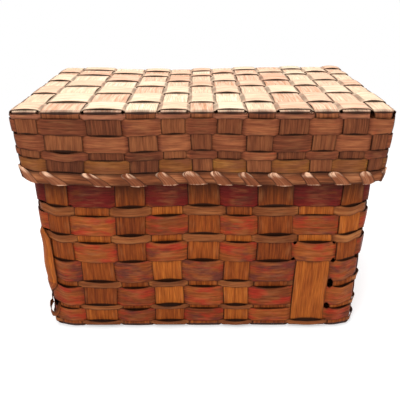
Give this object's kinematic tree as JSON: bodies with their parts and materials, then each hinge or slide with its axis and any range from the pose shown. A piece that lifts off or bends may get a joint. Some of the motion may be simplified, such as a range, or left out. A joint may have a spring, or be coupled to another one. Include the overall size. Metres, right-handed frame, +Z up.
{
  "type": "lidded storage basket",
  "caption": "Rectangular woven wood splint storage basket with a tall box lid that lifts straight off, lashed rims and faded swabbed colour.",
  "frame": {"origin": "on the floor at the centre of the outline seen from above", "axes": "+X to the right along the long side, +Y to the back, +Z up, seen from the front of the picture"},
  "size_m": [0.4198, 0.2718, 0.2919],
  "materials": {
    "body_splint": "aged orange tan wood splint with fine lengthwise grain, satin worn",
    "body_weaver": "aged wood splint swabbed with faded red and purple pigment, worn through to tan",
    "body_rim": "tan brown wood hoops and lashing",
    "lid_splint": "wood splint, pale and sun bleached on top, brown on the sides",
    "lid_weaver": "brown wood splint with faint reddish and ochre patches",
    "lid_rim": "tan brown wood hoops and lashing, pale on the folds"
  },
  "bodies": {
    "basket": {"body_cross_splint_01": "body_splint", "body_cross_splint_02": "body_splint", "body_cross_splint_03": "body_splint", "body_cross_splint_04": "body_splint", "body_cross_splint_05": "body_splint", "body_cross_splint_06": "body_splint", "body_front_splint_01": "body_splint", "body_front_splint_02": "body_splint", "body_front_splint_03": "body_splint", "body_front_splint_04": "body_splint", "body_front_splint_05": "body_splint", "body_front_splint_06": "body_splint", "body_front_splint_07": "body_splint", "body_front_splint_08": "body_splint", "body_front_splint_09": "body_splint", "body_rim_inner_hoop": "body_rim", "body_rim_lashing": "body_rim", "body_rim_outer_hoop": "body_rim", "body_weaver_01": "body_weaver", "body_weaver_02": "body_weaver", "body_weaver_03": "body_weaver", "body_weaver_04": "body_weaver", "body_weaver_05": "body_weaver", "body_weaver_06": "body_weaver", "body_weaver_07": "body_weaver", "body_weaver_08": "body_weaver", "body_weaver_09": "body_weaver", "body_weaver_10": "body_weaver", "body_weaver_11": "body_weaver", "body_weaver_12": "body_weaver", "body_weaver_13": "body_weaver", "body_weaver_14": "body_weaver"},
    "lid": {"lid_cross_splint_01": "lid_splint", "lid_cross_splint_02": "lid_splint", "lid_cross_splint_03": "lid_splint", "lid_cross_splint_04": "lid_splint", "lid_cross_splint_05": "lid_splint", "lid_cross_splint_06": "lid_splint", "lid_cross_splint_07": "lid_splint", "lid_cross_splint_08": "lid_splint", "lid_front_splint_01": "lid_splint", "lid_front_splint_02": "lid_splint", "lid_front_splint_03": "lid_splint", "lid_front_splint_04": "lid_splint", "lid_front_splint_05": "lid_splint", "lid_front_splint_06": "lid_splint", "lid_front_splint_07": "lid_splint", "lid_front_splint_08": "lid_splint", "lid_front_splint_09": "lid_splint", "lid_front_splint_10": "lid_splint", "lid_front_splint_11": "lid_splint", "lid_front_splint_12": "lid_splint", "lid_rim_inner_hoop": "lid_rim", "lid_rim_lashing": "lid_rim", "lid_rim_outer_hoop": "lid_rim", "lid_weaver_01": "lid_weaver", "lid_weaver_02": "lid_weaver", "lid_weaver_03": "lid_weaver", "lid_weaver_04": "lid_weaver", "lid_weaver_05": "lid_weaver"}
  },
  "joints": [
    {"name": "lid_lift", "type": "slide", "parent": "basket", "child": "lid", "axis": [0, 0, 1], "range_m": [0, 0.15]}
  ]
}
